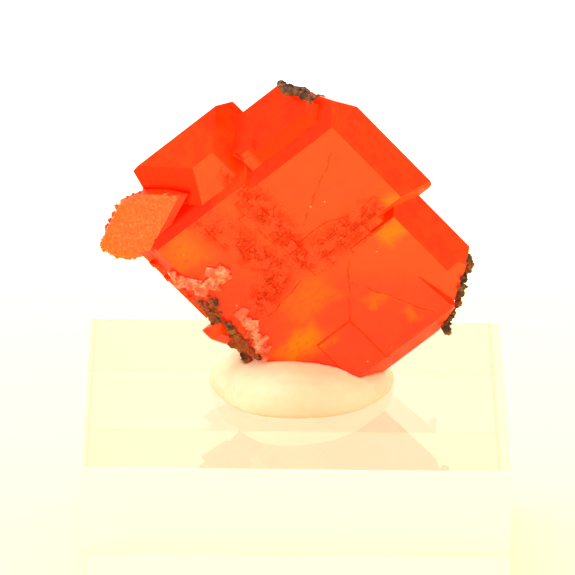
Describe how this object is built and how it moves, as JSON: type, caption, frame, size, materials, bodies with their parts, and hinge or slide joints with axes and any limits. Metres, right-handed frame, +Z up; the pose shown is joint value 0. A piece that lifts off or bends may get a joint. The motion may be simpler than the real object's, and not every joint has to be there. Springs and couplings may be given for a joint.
{
  "type": "mounted mineral specimen",
  "caption": "Orange-red square tablets of wulfenite with dark matrix crusts, set upright in putty on a clear acrylic block.",
  "frame": {"origin": "centre of the acrylic block's underside", "axes": "+Z up, +X to the viewer's right, -Y towards the viewer who faces the flat crystal faces"},
  "size_m": [0.032, 0.032, 0.0408],
  "materials": {
    "acrylic": "clear, polished",
    "putty": "cream-white, smooth and slightly waxy",
    "wulfenite": "orange-red, resinous to glassy, see-through",
    "matrix": "dark brown, granular, dull",
    "calcite": "pale pinkish, glassy cleavage grains"
  },
  "bodies": {
    "root": {"acrylic_base": "acrylic", "putty": "putty", "wulfenite_crystals": "wulfenite", "satellite_crystal": "wulfenite", "matrix_top": "matrix", "matrix_right": "matrix", "matrix_foot": "matrix", "calcite_upper": "calcite", "calcite_lower": "calcite"}
  },
  "joints": []
}
